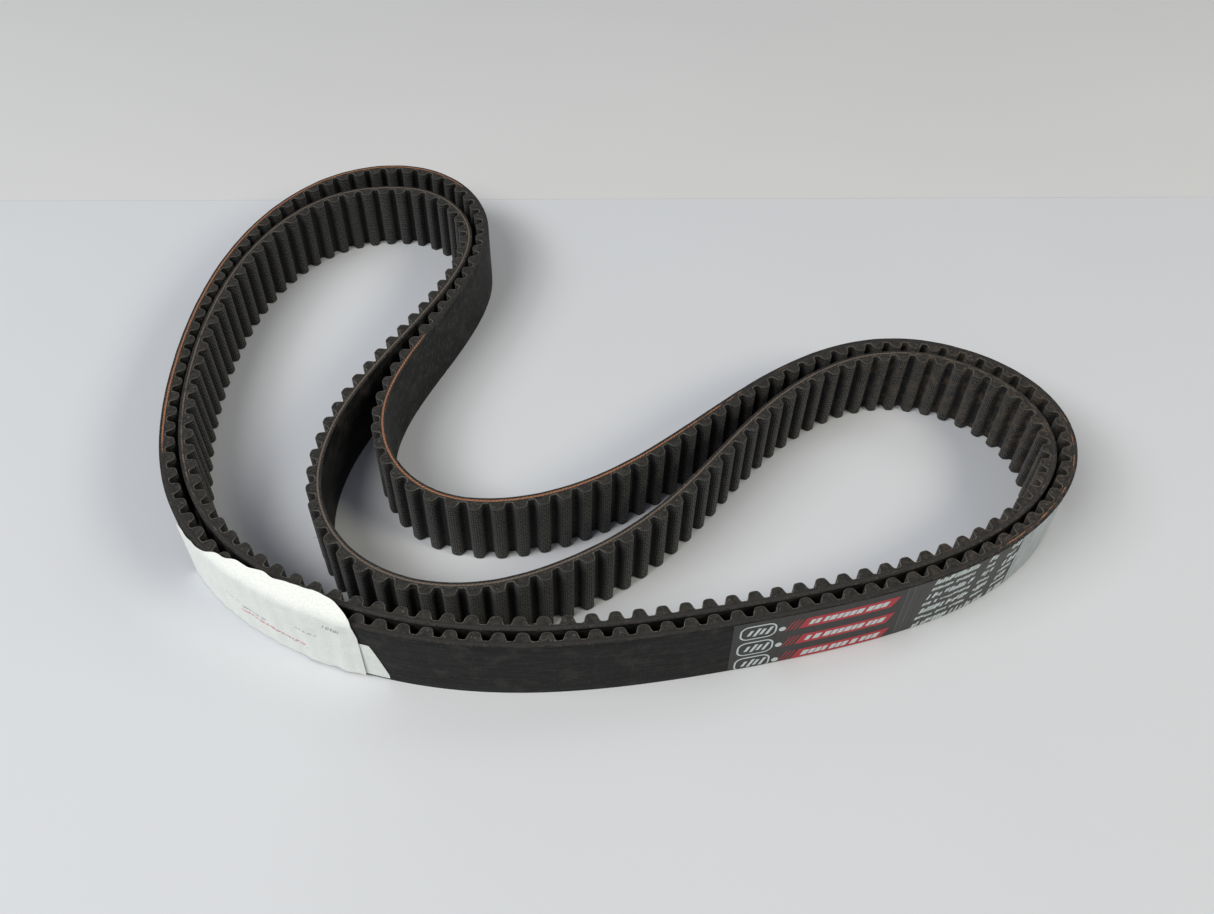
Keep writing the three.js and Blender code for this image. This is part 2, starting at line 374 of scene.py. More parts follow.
def makeKnitNylon(name, tint, gap):
    look = knitNylon
    material, tree, shader = startMaterial(
        name, IOR=1.53, Specular_IOR_Level=0.3, Sheen_Weight=0.1, Sheen_Roughness=0.5,
    )
    mark = addNode(tree, "ShaderNodeUVMap", uv_map="mm").outputs[0]
    place = addNode(tree, "ShaderNodeTexCoord").outputs["Object"]
    split = addNode(tree, "ShaderNodeSeparateXYZ", {0: mark})
    # a slanting wave, broken by a fainter one that crosses it; a slow noise keeps the rows from running true
    warp = addNode(tree, "ShaderNodeTexNoise", {"Vector": mark, "Scale": 0.4, "Detail": 2})
    warped = addNode(tree, "ShaderNodeMath", {
        0: warp.outputs[0], 1: 2.0, 2: split.outputs[1],
    }, operation="MULTIPLY_ADD")
    waves = []
    for slant in (1, -1):
        lean = addNode(tree, "ShaderNodeMath", {
            0: split.outputs[0], 1: slant * look["loopLength"] / look["loopWidth"], 2: warped.outputs[0],
        }, operation="MULTIPLY_ADD")
        turn = addNode(tree, "ShaderNodeMath", {
            0: lean.outputs[0], 1: math.pi / look["loopLength"],
        }, operation="MULTIPLY")
        waves.append(addNode(tree, "ShaderNodeMath", {0: turn.outputs[0]}, operation="SINE").outputs[0])
    crossing = addNode(tree, "ShaderNodeMath", {0: waves[1], 1: 0.75, 2: 0.25}, operation="MULTIPLY_ADD")
    knit = addNode(tree, "ShaderNodeMath", {0: waves[0], 1: crossing.outputs[0]}, operation="MULTIPLY")
    fuzz = addNode(tree, "ShaderNodeTexNoise", {"Vector": mark, "Scale": 1.6, "Detail": 5, "Roughness": 0.7})
    rubbed = addNode(tree, "ShaderNodeMath", {
        0: fuzz.outputs[0], 1: 3.4, 2: knit.outputs[0],
    }, operation="MULTIPLY_ADD")
    share = addNode(tree, "ShaderNodeMapRange", {
        "Value": rubbed.outputs[0], "From Min": 1.2, "From Max": 2.2,
    }, interpolation_type="SMOOTHSTEP")
    # the tips are worn pale, the grooves stay dark with rubber that bled through
    worn = addNode(tree, "ShaderNodeAttribute", attribute_name="worn").outputs["Fac"]
    thread = addNode(tree, "ShaderNodeMix", {
        0: worn, 6: colour(tint), 7: colour(look["worn"]),
    }, data_type="RGBA")
    woven = addNode(tree, "ShaderNodeMix", {
        0: share.outputs[0], 6: colour(gap), 7: thread.outputs[2],
    }, data_type="RGBA")
    side = addNode(tree, "ShaderNodeSeparateXYZ", {0: place})
    far = addNode(tree, "ShaderNodeMapRange", {
        "Value": side.outputs[0], "From Min": look["dusty"] - 0.06, "From Max": look["dusty"] + 0.05,
        "To Min": 0.05, "To Max": 0.7,
    }, interpolation_type="SMOOTHSTEP")
    cloud = addNode(tree, "ShaderNodeTexNoise", {
        "Vector": place, "Scale": 260, "Detail": 6, "Roughness": 0.7,
    })
    dusty = addNode(tree, "ShaderNodeMapRange", {
        "Value": cloud.outputs[0], "From Min": 0.46, "From Max": 0.68,
    })
    dustShare = addNode(tree, "ShaderNodeMath", {
        0: dusty.outputs[0], 1: far.outputs[0],
    }, operation="MULTIPLY")
    finished = addNode(tree, "ShaderNodeMix", {
        0: dustShare.outputs[0], 6: woven.outputs[2], 7: colour(look["dust"]),
    }, data_type="RGBA")
    rough = addNode(tree, "ShaderNodeMapRange", {"Value": share.outputs[0], "To Min": 0.95, "To Max": 0.72})
    bump = addNode(tree, "ShaderNodeBump", {
        "Height": rubbed.outputs[0], "Strength": 0.6, "Distance": 0.00015,
    })
    tree.links.new(finished.outputs[2], shader.inputs["Base Color"])
    tree.links.new(rough.outputs[0], shader.inputs["Roughness"])
    tree.links.new(bump.outputs[0], shader.inputs["Normal"])
    return material


# glass-fibre cord in rubber cement, cut lengthwise: copper or tan strands,
# broken where rubber smears over them
cordLooks = {
    "outerCord": {"strand": "#a5714e", "shade": "#613b26", "smear": "#1c1917"},
    "innerCord": {"strand": "#6f6154", "shade": "#443b33", "smear": "#201d1b"},
    "twist": 1.5,  # mm between strands along the cut
    "lip": 0.3,  # mm from the cord's middle to where the rubber starts to cover it
}


def makeCordMaterial(name, look):
    material, tree, shader = startMaterial(name, IOR=1.55)
    mark = addNode(tree, "ShaderNodeUVMap", uv_map="mm").outputs[0]
    bare = addNode(tree, "ShaderNodeAttribute", attribute_name="bare").outputs["Fac"]
    split = addNode(tree, "ShaderNodeSeparateXYZ", {0: mark})
    lean = addNode(tree, "ShaderNodeMath", {
        0: split.outputs[1], 1: 1.6, 2: split.outputs[0],
    }, operation="MULTIPLY_ADD")
    turn = addNode(tree, "ShaderNodeMath", {
        0: lean.outputs[0], 1: 2 * math.pi / cordLooks["twist"],
    }, operation="MULTIPLY")
    strand = addNode(tree, "ShaderNodeMath", {0: turn.outputs[0]}, operation="SINE")
    fibre = addNode(tree, "ShaderNodeTexNoise", {
        "Vector": mark, "Scale": 1.4, "Detail": 5, "Roughness": 0.65,
    })
    mixed = addNode(tree, "ShaderNodeMath", {
        0: strand.outputs[0], 1: 0.16, 2: fibre.outputs[0],
    }, operation="MULTIPLY_ADD")
    light = addNode(tree, "ShaderNodeMapRange", {
        "Value": mixed.outputs[0], "From Min": 0.25, "From Max": 0.72,
    })
    strands = addNode(tree, "ShaderNodeMix", {
        0: light.outputs[0], 6: colour(look["shade"]), 7: colour(look["strand"]),
    }, data_type="RGBA")
    stretched = addNode(tree, "ShaderNodeMapping", {"Vector": mark, "Scale": (0.22, 1.0, 1)}).outputs[0]
    smearNoise = addNode(tree, "ShaderNodeTexNoise", {"Vector": stretched, "Scale": 1.0, "Detail": 4})
    level = addNode(tree, "ShaderNodeMath", {0: bare, 1: smearNoise.outputs[0]}, operation="ADD")
    aside = addNode(tree, "ShaderNodeMath", {0: split.outputs[1], 1: 0.55}, operation="SUBTRACT")
    away = addNode(tree, "ShaderNodeMath", {0: aside.outputs[0]}, operation="ABSOLUTE")
    lip = addNode(tree, "ShaderNodeMapRange", {
        "Value": away.outputs[0], "From Min": cordLooks["lip"] - 0.1, "From Max": cordLooks["lip"] + 0.08,
        "To Max": 0.6,
    })
    kept = addNode(tree, "ShaderNodeMath", {0: level.outputs[0], 1: lip.outputs[0]}, operation="SUBTRACT")
    shown = addNode(tree, "ShaderNodeMapRange", {
        "Value": kept.outputs[0], "From Min": 0.86, "From Max": 1.04,
    }, interpolation_type="SMOOTHSTEP")
    finished = addNode(tree, "ShaderNodeMix", {
        0: shown.outputs[0], 6: colour(look["smear"]), 7: strands.outputs[2],
    }, data_type="RGBA")
    bump = addNode(tree, "ShaderNodeBump", {"Height": mixed.outputs[0], "Strength": 0.6, "Distance": 0.0002})
    tree.links.new(finished.outputs[2], shader.inputs["Base Color"])
    tree.links.new(bump.outputs[0], shader.inputs["Normal"])
    shader.inputs["Roughness"].default_value = 0.7
    return material


# screen ink and heat transfer film on rubber: satin, slightly crazed, the rubber's streaks showing through
inkLooks = {
    "paleInk": {"ink": "#ccd6d7", "worn": "#6e7375", "wear": 0.66, "rough": 0.5},
    "redInk": {"ink": "#b2323a", "worn": "#7c2f31", "wear": 0.62, "rough": 0.5},
    "darkFilm": {"ink": "#343332", "worn": "#222121", "wear": 0.5, "rough": 0.5},
    "greyFilm": {"ink": "#3e3d3b", "worn": "#2b2a29", "wear": 0.5, "rough": 0.5},
    "seamFilm": {"ink": "#5e6062", "worn": "#3c3c3c", "wear": 0.5, "rough": 0.5},
    "silverFilm": {"ink": "#abb2b4", "worn": "#6d7577", "wear": 0.4, "rough": 0.42},
    "greyPencil": {"ink": "#a3a7a9", "worn": "#d3d6d2", "wear": 0.42, "rough": 0.7},
    "redPencil": {"ink": "#d2858a", "worn": "#e3d2cf", "wear": 0.45, "rough": 0.7},
}


def makeInk(name):
    look = inkLooks[name]
    material, tree, shader = startMaterial(name + "Transfer", IOR=1.5, Specular_IOR_Level=0.4)
    mark = addNode(tree, "ShaderNodeUVMap", uv_map="mm").outputs[0]
    drawn = addNode(tree, "ShaderNodeMapping", {"Vector": mark, "Scale": (0.7, 0.06, 1)}).outputs[0]
    streaks = addNode(tree, "ShaderNodeTexNoise", {
        "Vector": drawn, "Scale": 1.0, "Detail": 5, "Roughness": 0.6,
    })
    grain = addNode(tree, "ShaderNodeTexNoise", {"Vector": mark, "Scale": 1.6, "Detail": 4, "Roughness": 0.7})
    worn = addNode(tree, "ShaderNodeMath", {0: streaks.outputs[0], 1: grain.outputs[0]}, operation="ADD")
    share = addNode(tree, "ShaderNodeMapRange", {
        "Value": worn.outputs[0], "From Min": 0.5 + look["wear"], "From Max": 0.85 + look["wear"],
        "To Max": 0.8,
    }, interpolation_type="SMOOTHSTEP")
    finished = addNode(tree, "ShaderNodeMix", {
        0: share.outputs[0], 6: colour(look["ink"]), 7: colour(look["worn"]),
    }, data_type="RGBA")
    rough = addNode(tree, "ShaderNodeMapRange", {
        "Value": worn.outputs[0], "From Max": 2.0,
        "To Min": look["rough"] - 0.12, "To Max": look["rough"] + 0.2,
    })
    bump = addNode(tree, "ShaderNodeBump", {
        "Height": streaks.outputs[0], "Strength": 0.25, "Distance": 0.0001,
    })
    tree.links.new(finished.outputs[2], shader.inputs["Base Color"])
    tree.links.new(rough.outputs[0], shader.inputs["Roughness"])
    tree.links.new(bump.outputs[0], shader.inputs["Normal"])
    return material


# wood-pulp paper, coated: off-white with a cool green cast, faint fibre clouds and soft handling dents
paper = {"sheet": "#eef1ec", "cloud": "#dfe4df", "fibre": 0.8, "dent": 9.0}  # mm


def makePaper():
    material, tree, shader = startMaterial("coatedPaper", IOR=1.47, Roughness=0.62)
    mark = addNode(tree, "ShaderNodeUVMap", uv_map="mm").outputs[0]
    fibre = addNode(tree, "ShaderNodeTexNoise", {"Vector": mark, "Scale": 1 / paper["fibre"], "Detail": 5})
    dent = addNode(tree, "ShaderNodeTexNoise", {"Vector": mark, "Scale": 1 / paper["dent"], "Detail": 2})
    share = addNode(tree, "ShaderNodeMapRange", {
        "Value": fibre.outputs[0], "From Min": 0.4, "From Max": 0.75,
    })
    finished = addNode(tree, "ShaderNodeMix", {
        0: share.outputs[0], 6: colour(paper["sheet"]), 7: colour(paper["cloud"]),
    }, data_type="RGBA")
    fine = addNode(tree, "ShaderNodeBump", {
        "Height": fibre.outputs[0], "Strength": 0.12, "Distance": 0.00005,
    })
    soft = addNode(tree, "ShaderNodeBump", {
        "Height": dent.outputs[0], "Strength": 0.5, "Distance": 0.0015, "Normal": fine.outputs[0],
    })
    tree.links.new(finished.outputs[2], shader.inputs["Base Color"])
    tree.links.new(soft.outputs[0], shader.inputs["Normal"])
    return material


backLook = makeGroundRubber()
cutLook = makeCutRubber()
knitLook = makeKnitNylon("knittedNylonFacing", knitNylon["thread"], knitNylon["gap"])
frayLook = makeKnitNylon("frayedNylonEdge", knitNylon["fray"], knitNylon["frayGap"])
inks = {name: makeInk(name) for name in inkLooks}
paperLook = makePaper()
print("materials ready")


def toothContour():
    half, pitch = section["halfTooth"], [section["pitch"], 0]
    tooth = [(-along, height) for along, height in half[:-1]]
    tooth = np.array(tooth + [(along, height) for along, height in half[:0:-1]])
    steps = np.diff(np.vstack([tooth[-1] - pitch, tooth, tooth[0] + pitch]), axis=0)
    tangent = steps[:-1] + steps[1:]
    tangent /= np.linalg.norm(tangent, axis=1)[:, None]
    inside = np.stack([tangent[:, 1], -tangent[:, 0]], axis=1)  # towards the rubber
    length = np.linalg.norm(steps[1:], axis=1)
    return tooth, inside, length


def contourRing(inset):
    tooth, inside, length = toothContour()
    moved = tooth + inside * inset
    index = np.arange(section["teeth"])[:, None]
    place = (index + 0.5 + moved[None, :, 0] / section["pitch"]).ravel()
    depth = np.broadcast_to(section["land"] + moved[None, :, 1], (section["teeth"], len(tooth))).ravel()
    return place, depth


# height of each contour point over the land, all round the loop
def reliefOf():
    return np.tile(toothContour()[0][:, 1], section["teeth"])


# height of the cut edge against the belt's width: it strays a little, and is the same for every layer
def cutEdge(place):
    return section["waver"] * (wander(place, 3, (31, 47, 83, 120)) - 1)


def makeBelt(prefix, route, body, cordLook, bareness):
    width = section["width"]
    # the smooth back
    place = np.arange(section["teeth"] * 5) / 5
    along = place * section["pitch"]
    edge = cutEdge(place)
    rings, across = [], []
    for depth, height in [
        (section["cordTop"], width), (-1.12, width), (-1.25, width - 0.06), (section["back"], width - 0.22),
        (section["back"], 25), (section["back"], 20), (section["back"], 15), (section["back"], 10),
        (section["back"], 5), (section["back"], 0.22), (-1.25, 0.06), (-1.12, 0), (section["cordTop"], 0),
    ]:
        rings.append(spots(route, place, depth, height + edge * (height > width - 1)))
        across.append(height)
    across = [30.9, 30.2, 30.05] + across[3:] + [30.9]
    bands = [1] + [0] * 10 + [1, 1]
    back = loopBody(prefix + "BackRubber", rings, along, across, [backLook, cutLook], bands)
    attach(back, body)
    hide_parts(prefix + "_backing")

    # the cord, a line of cut strands between back and teeth
    place = np.arange(section["teeth"] * 8) / 8
    along = place * section["pitch"]
    bare = np.interp(place, [at for at, share in bareness], [share for at, share in bareness])
    lump = 0.03 * np.sin(along * 2 * math.pi / cordLooks["twist"]) * bare
    top = width + cutEdge(place)
    crown = [
        (section["cordTop"], -0.04), (-0.4, 0.05), (-0.18, 0.1),
        (0.18, 0.1), (0.4, 0.05), (section["cordBottom"], -0.04),
    ]
    rings = [spots(route, place, depth, top + rise * (0.3 + 0.7 * bare) + lump) for depth, rise in crown]
    rings += [spots(route, place, depth, 0.04) for depth in (section["cordBottom"], section["cordTop"])]
    cord = loopBody(
        prefix + "TensileCord", rings, along, [0, 0.2, 0.4, 0.7, 0.9, 1.1, 31, 32, 62],
        [makeCordMaterial(prefix + "GlassCord", cordLook)], [0] * 8,
    )
    layer = cord.data.attributes.new("bare", "FLOAT", "POINT")
    layer.data.foreach_set("value", np.tile(bare, 8).astype(np.float32))
    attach(cord, body)
    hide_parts(prefix + "_tensile_cord")

    # the moulded teeth
    length = toothContour()[2]
    along = np.concatenate([[0], np.cumsum(np.tile(length, section["teeth"]))[:-1]])
    facePlace, faceDepth = contourRing(0)
    rubberPlace, rubberDepth = contourRing(section["facing"])
    edge = cutEdge(facePlace)
    middle = (rubberDepth + section["cordBottom"]) / 2
    source = np.random.RandomState(11 if prefix == "outer" else 12)
    rough = 0.05 * source.rand(len(facePlace))
    rings = [
        spots(route, rubberPlace, section["cordBottom"], width + edge),
        spots(route, rubberPlace, middle, width + edge - rough),
        spots(route, rubberPlace, rubberDepth, width + edge),
        spots(route, rubberPlace, rubberDepth, 0),
        spots(route, rubberPlace, section["cordBottom"], 0),
    ]
    teeth = loopBody(prefix + "ToothRubber", rings, along, [0, 2, 4, 34, 36, 66], [cutLook], [0] * 5)
    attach(teeth, body)
    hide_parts(prefix + "_tooth_rubber")

    # the fabric that faces the teeth, a little frayed where it was cut
    fray = 0.05 * source.rand(len(facePlace))
    rings = [
        spots(route, rubberPlace, rubberDepth + 0.01, width + edge + 0.02),
        spots(route, facePlace, faceDepth, width + edge - 0.03 + fray),
        spots(route, facePlace, faceDepth, width + edge - 0.35),
    ]
    across = [30.6, 30.3, 29.6]
    for height in (24, 18, 12, 6, 0.3):
        bulge = 0.03 * wander(facePlace, int(height) + 5, (311, 417, 523))
        rings.append(spots(route, facePlace, faceDepth + bulge, height))
        across.append(height)
    rings.append(spots(route, rubberPlace, rubberDepth + 0.01, 0.02))
    across += [-0.3, 30.6]
    facing = loopBody(
        prefix + "ToothFacing", rings, along, across, [knitLook, frayLook], [1, 1, 0, 0, 0, 0, 0, 0, 0],
    )
    worn = np.clip((reliefOf() - 1.0) / 2.0, 0, 1)
    layer = facing.data.attributes.new("worn", "FLOAT", "POINT")
    layer.data.foreach_set("value", np.tile(worn, len(rings)).astype(np.float32))
    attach(facing, body)
    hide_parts(prefix + "_tooth_facing")


# how bare the cord lies, from 0, smeared over, to 1: pairs of tooth place and bareness round each loop
outerBare = [
    (0, 0.15), (3.5, 0.25), (5, 0.7), (8, 0.9), (30, 0.9), (34, 0.55), (37, 0.25), (48, 0.25), (51, 0.85),
    (68, 0.9), (74, 0.5), (84, 0.2), (94, 0.25), (97, 0.42), (106, 0.42), (108, 0.15), (145, 0.15),
]
innerBare = [
    (0, 0.4), (10, 0.6), (40, 0.7), (60, 0.85), (72, 0.75), (90, 0.55), (104, 0.3), (140, 0.2), (145, 0.4),
]

makeBelt("outer", outerRoute, "outer_belt", cordLooks["outerCord"], outerBare)
makeBelt("inner", innerRoute, "inner_belt", cordLooks["innerCord"], innerBare)
print("belts ready")


# a closed shell between rows of points that follow one another round it, capped at both ends;
# corners holds the two marks of every point, row by row
def addShell(store, rows, corners):
    count, base = len(rows[0]), len(store["vertices"])
    for row in rows:
        store["vertices"] += row.tolist()
    for column in range(count - 1):
        for row, (across, heights) in enumerate(corners):
            following = (row + 1) % len(rows)
            nextAcross, nextHeights = corners[following]
            store["faces"].append((
                base + row * count + column, base + row * count + column + 1,
                base + following * count + column + 1, base + following * count + column,
            ))
            store["marks"] += [
                (across[column], heights[column]), (across[column + 1], heights[column + 1]),
                (nextAcross[column + 1], nextHeights[column + 1]), (nextAcross[column], nextHeights[column]),
            ]
    for column in (0, count - 1):
        store["faces"].append(tuple(base + row * count + column for row in range(len(rows))))
        store["marks"] += [(across[column], heights[column]) for across, heights in corners]


# a flat shape laid on a curved surface: surface(right, up, lift) gives its points, all in mm
def addSlab(store, surface, right, low, high, lift, thickness, lean=0.0):
    low, high = (np.broadcast_to(np.asarray(edge, dtype=float), right.shape) for edge in (low, high))
    lower, upper = right + lean * (low - low[0]), right + lean * (high - low[0])
    corners = [(lower, low), (upper, high), (upper, high), (lower, low)]
    lifts = (lift + thickness, lift + thickness, lift, lift)
    addShell(store, [surface(*corner, out) for corner, out in zip(corners, lifts)], corners)


def newStore():
    return {"vertices": [], "faces": [], "marks": []}


def finishStore(name, store, look, body="outer_belt"):
    piece = finishMesh(name, store["vertices"], store["faces"], store["marks"], [look], sharp=30)
    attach(piece, body)
    return piece


# the outer back, read rightwards from the left end of the print
def backSurface(right, up, lift):
    return spots(outerRoute, printed["start"] - right / section["pitch"], section["back"] - lift, up)


printed = {
    "start": 118.7,  # tooth place of the left end
    "panelEnd": 112.0, "seam": 62.4, "stripeFrom": 112.6, "stripeTo": 161.0,
    "bottom": 0.35, "top": 29.55,
    "gap": 0.02, "film": 0.05, "ink": 0.04,  # thicknesses, from the rubber outwards
    "rows": [3.1, 13.0, 23.1],
    "mark": {
        "middle": 8.5, "length": 13.0, "height": 8.4, "corner": 3.2, "outline": 0.65,
        # each dash: from the middle, half its height
        "dashes": [(-4.0, 1.5), (-1.9, 2.2), (0.3, 1.6), (2.4, 2.1)], "dash": 1.15,
        "dot": 17.1, "dotSize": 2.5,
    },
    "bar": {"from": 23.0, "to": 57.4, "height": 5.6, "lean": 0.45, "slashes": (18.3, 19.8, 21.3)},
    "lines": {
        "columns": [(69.4, 90.5), (92.6, 99.5), (102.8, 110.0)],
        "tall": 2.9, "small": 1.6, "pitch": 4.3, "first": 1.9,
    },
}
filmTop = printed["gap"] + printed["film"]


def straight(start, end, step=1.5):
    return np.linspace(start, end, max(2, int(math.ceil(abs(end - start) / step)) + 1))


def makeFilms():
    for name, ends, look, node in (
        ("printPanel", (0.0, printed["seam"]), "darkFilm", "print_panel"),
        ("printPanelRight", (printed["seam"], printed["panelEnd"]), "greyFilm", None),
        ("printStripe", (printed["stripeFrom"], printed["stripeTo"]), "silverFilm", "print_stripe"),
    ):
        store = newStore()
        addSlab(
            store, backSurface, straight(*ends), printed["bottom"], printed["top"],
            printed["gap"], printed["film"], lean=-0.02,
        )
        piece = finishStore(name, store, inks[look])
        if node:
            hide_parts(node)


# a round-cornered block, given by its columns
def roundedBlock(length, height, corner):
    turn = np.linspace(0, math.pi / 2, 7)
    rise = corner * (1 - np.cos(turn))
    left = -length / 2 + rise
    right = np.concatenate([left, straight(-length / 2 + corner, length / 2 - corner)[1:-1], -left[::-1]])
    inset = np.maximum(np.abs(right) - (length / 2 - corner), 0)
    half = height / 2 - corner + np.sqrt(np.maximum(corner ** 2 - inset ** 2, 0.0025))
    return right, -half, half


# each plain mark is a pale outline round leaning dashes, with a dot beside it
def makeMarks():
    mark, ink = printed["mark"], printed["ink"]
    for row, height in enumerate(printed["rows"]):
        pale, dark = newStore(), newStore()
        for store, narrower, out in ((pale, 0, 0), (dark, mark["outline"], 0.04)):
            right, low, high = roundedBlock(
                mark["length"] - 2 * narrower, mark["height"] - 2 * narrower, mark["corner"] - narrower,
            )
            low = np.maximum(low + height, printed["bottom"])
            addSlab(store, backSurface, right + mark["middle"], low, high + height, filmTop + out, ink)
        for at, reach in mark["dashes"]:
            dash = straight(mark["middle"] + at, mark["middle"] + at + mark["dash"])
            low = max(height - reach, printed["bottom"])
            addSlab(pale, backSurface, dash, low, height + reach, filmTop + 0.08, ink, lean=0.4)
        right, low, high = roundedBlock(mark["dotSize"], mark["dotSize"], mark["dotSize"] / 2 - 0.01)
        addSlab(pale, backSurface, right + mark["dot"], low + height - 1.0, high + height - 1.0, filmTop, ink)
        piece = finishStore(f"printMark{row + 1}", pale, inks["paleInk"])
        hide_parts(f"print_badge_{row + 1}")
        finishStore(f"printMarkWindow{row + 1}", dark, inks["darkFilm"])


# a leaning red bar with three thin slashes before it and a row of plain pale blocks on it
def makeBars():
    bar, ink = printed["bar"], printed["ink"]
    for row, height in enumerate(printed["rows"]):
        red, pale = newStore(), newStore()
        low, high = max(height - bar["height"] / 2, printed["bottom"]), height + bar["height"] / 2
        for start, end in [(bar["from"], bar["to"])] + [(at, at + 0.4) for at in bar["slashes"]]:
            addSlab(red, backSurface, straight(start, end), low, high, filmTop, ink, lean=bar["lean"])
        source = random.Random(20 + row)
        at = bar["from"] + 3.4
        while at < bar["to"] - 2.4:
            size = source.choice((1.6, 1.9, 2.3))
            block = straight(at, at + size)
            addSlab(pale, backSurface, block, height - 1.35, height + 1.35, filmTop + 0.04, ink, lean=0.4)
            at += size + source.choice((0.5, 0.55, 0.6, 1.4))
        piece = finishStore(f"printBar{row + 1}", red, inks["redInk"])
        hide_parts(f"print_bar_{row + 1}")
        finishStore(f"printBarBlocks{row + 1}", pale, inks["paleInk"])


# rows of short pale dashes in three columns, which say nothing
def makeLines():
    lines = printed["lines"]
    store = newStore()
    source = random.Random(5)
    height, row = lines["first"], 0
    while height < printed["top"] - 1.2:
        tall = lines["small" if row % 2 else "tall"]
        for start, end in lines["columns"]:
            at = start + 0.12 * height + source.uniform(-0.5, 0.5)
            while at < end:
                size = source.uniform(0.6, 1.3)
                dash = straight(at, at + size)
                low = height - tall * source.choice((0.5, 0.5, 0.5, 0.2))
                high = height + tall * source.choice((0.5, 0.5, 0.5, 0.2))
                addSlab(store, backSurface, dash, low, high, filmTop, printed["ink"], lean=0.3)
                at += size + (1.5 if source.random() < 0.12 else 0.35)
        height += lines["pitch"]
        row += 1
    finishStore("printDashes", store, inks["paleInk"])
    # the thin seams of the film
    store = newStore()
    for at in (printed["seam"], printed["seam"] + 2.4):
        addSlab(store, backSurface, straight(at, at + 0.3), 0.6, printed["top"] - 0.3, filmTop, 0.02)
    finishStore("printSeams", store, inks["seamFilm"])


makeFilms()
makeMarks()
makeBars()
makeLines()
print("print ready")


label = {
    "from": 144.6, "to": 134.4,  # tooth places of its left and right ends
    # height of the sheet at shares of its length, left to right; what passes the belt's edge bends over it
    "tall": [
        (0, 28.5), (0.16, 30.0), (0.27, 33.3), (0.35, 35.4), (0.45, 36.0), (0.52, 37.0), (0.62, 36.8),
        (0.71, 38.0), (0.84, 38.0), (0.94, 35.2), (1, 30.5),
    ],
    # how far the bottom edge stands out from the belt
    "flare": [
        (0, 0.2), (0.6, 0.3), (0.72, 0.5), (0.78, 1.2), (0.84, 0.5), (0.92, 1.2), (0.96, 0.5), (1, 0.3),
    ],
    "foot": [(0, 0.3), (0.7, 0.3), (0.76, 1.1), (0.83, 0.5), (0.9, 1.5), (0.94, 0.9), (1, 1.4)],
    "thickness": 0.16,
    "bend": 72, "bendLength": 7.0,  # degrees, reached this far past the belt's edge
    "underFrom": 136.2, "underTo": 133.35, "underTop": 20.5,
    # strokes: colour, from, to, height at each end, how tall, gap between dashes
    "strokes": [
        ("grey", 26, 60, 15.5, 6.8, 0.3, 0.5), ("red", 32, 60, 10.5, 8.4, 0.8, 0.35),
        ("grey", 34, 43, 13.0, 12.6, 0.6, 0.5), ("grey", 57, 66, 17.5, 17.2, 0.6, 0.5),
        ("grey", 69, 75, 25.2, 25.0, 1.9, 0.4),
    ],
}


def curveOf(pairs, share):
    steps = np.linspace(0, 1, 201)
    values = np.interp(steps, [at for at, value in pairs], [value for at, value in pairs])
    padded = np.concatenate([np.full(6, values[0]), values, np.full(6, values[-1])])
    smooth = np.convolve(padded, np.ones(13) / 13, mode="valid")
    return np.interp(share, steps, smooth)


labelLength = (label["from"] - label["to"]) * section["pitch"]


# the sheet, read rightwards from its left end; up runs along the paper
def labelSurface(right, up, lift):
    share = np.clip(right / labelLength, 0, 1)
    place = label["from"] - right / section["pitch"]
    edge = section["width"] - 0.4
    over = np.maximum(up - edge, 0)
    bend = np.radians(label["bend"]) * np.clip(over / label["bendLength"], 0, 1)
    rise = np.minimum(up, edge) + over * np.cos(bend * 0.6) * 0.8
    inward = over * np.sin(bend * 0.75) * 0.95
    low = np.clip(1 - up / 24, 0, 1) ** 1.6
    ripple = 0.1 * np.sin(right * 0.42 + up * 0.05) + 0.12 * np.sin(right * 0.93 + 1.2)
    out = 0.45 + curveOf(label["flare"], share) * low + ripple
    depth = section["back"] - np.maximum(out, 0.35) + inward - lift * np.cos(bend)
    height = rise + lift * np.sin(bend)
    return spots(outerRoute, place, depth, height)


